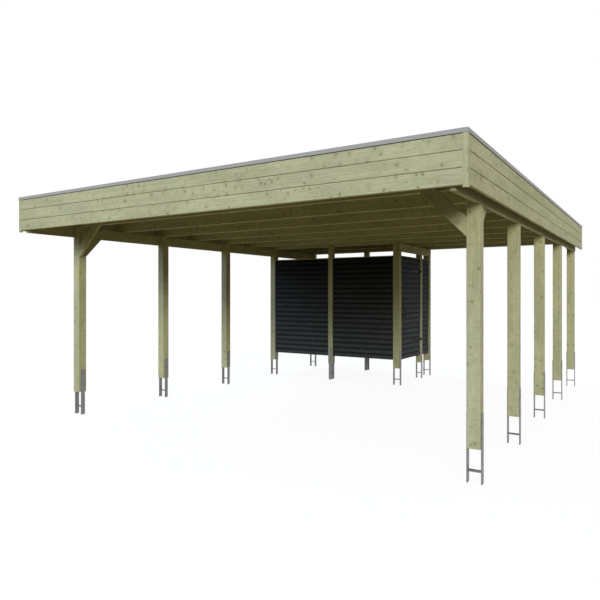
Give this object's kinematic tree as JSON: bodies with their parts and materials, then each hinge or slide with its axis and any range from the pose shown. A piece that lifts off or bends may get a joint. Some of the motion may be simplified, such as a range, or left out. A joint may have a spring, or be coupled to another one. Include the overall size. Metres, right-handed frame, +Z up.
{
  "type": "timber double carport with store",
  "caption": "Flat-roofed open timber carport on square posts with steel anchors, knee braces, boarded fascia and a dark boarded store with a door in one back corner.",
  "frame": {"origin": "middle of the footprint, at the lower ends of the post anchors", "axes": "+Y from the open front to the back, along the rows of posts; +X to the right seen from the front; +Z up"},
  "size_m": [5.57, 7.08, 2.811],
  "materials": {
    "treated_wood": "pressure-treated softwood, planed, pale olive",
    "dark_boards": "softwood boards stained dark anthracite",
    "galvanised_steel": "hot-dip galvanised, matt grey",
    "edge_metal": "plain mill finish, light blue-grey",
    "roof_sheet": "matt black roofing sheet",
    "dark_hardware": "black coated steel"
  },
  "bodies": {
    "carport": {"back_fascia": "treated_wood", "corner_strips": "treated_wood", "door_hinge_pins": "galvanised_steel", "front_fascia": "treated_wood", "left_beam": "treated_wood", "left_fascia": "treated_wood", "left_knee_braces": "treated_wood", "left_post_1": "treated_wood", "left_post_2": "treated_wood", "left_post_3": "treated_wood", "left_post_4": "treated_wood", "left_post_5": "treated_wood", "left_post_anchors": "galvanised_steel", "rafters": "treated_wood", "right_beam": "treated_wood", "right_fascia": "treated_wood", "right_knee_braces": "treated_wood", "right_post_1": "treated_wood", "right_post_2": "treated_wood", "right_post_3": "treated_wood", "right_post_4": "treated_wood", "right_post_5": "treated_wood", "right_post_anchors": "galvanised_steel", "roof_curb": "treated_wood", "roof_deck": "treated_wood", "roof_edge_trim": "edge_metal", "roof_membrane": "roof_sheet", "store_back_corner_post": "treated_wood", "store_back_middle_post": "treated_wood", "store_back_wall_left": "dark_boards", "store_back_wall_right": "dark_boards", "store_beam": "treated_wood", "store_door_post": "treated_wood", "store_front_corner_post": "treated_wood", "store_front_middle_post": "treated_wood", "store_front_wall_left": "dark_boards", "store_front_wall_right": "dark_boards", "store_left_wall": "dark_boards", "store_post_anchors": "galvanised_steel", "store_side_panel": "dark_boards", "store_wall_battens": "treated_wood", "store_wall_caps": "treated_wood"},
    "store_door": {"door_leaf": "dark_boards", "door_cap": "treated_wood", "door_frame": "treated_wood", "door_hinge_straps": "dark_hardware", "door_handle": "dark_hardware"}
  },
  "joints": [
    {"name": "store_door_hinge", "type": "hinge", "parent": "carport", "child": "store_door", "pos_m": [0.09, 2.8365, 0], "axis": [0, 0, 1], "range_deg": [0, 110]}
  ]
}
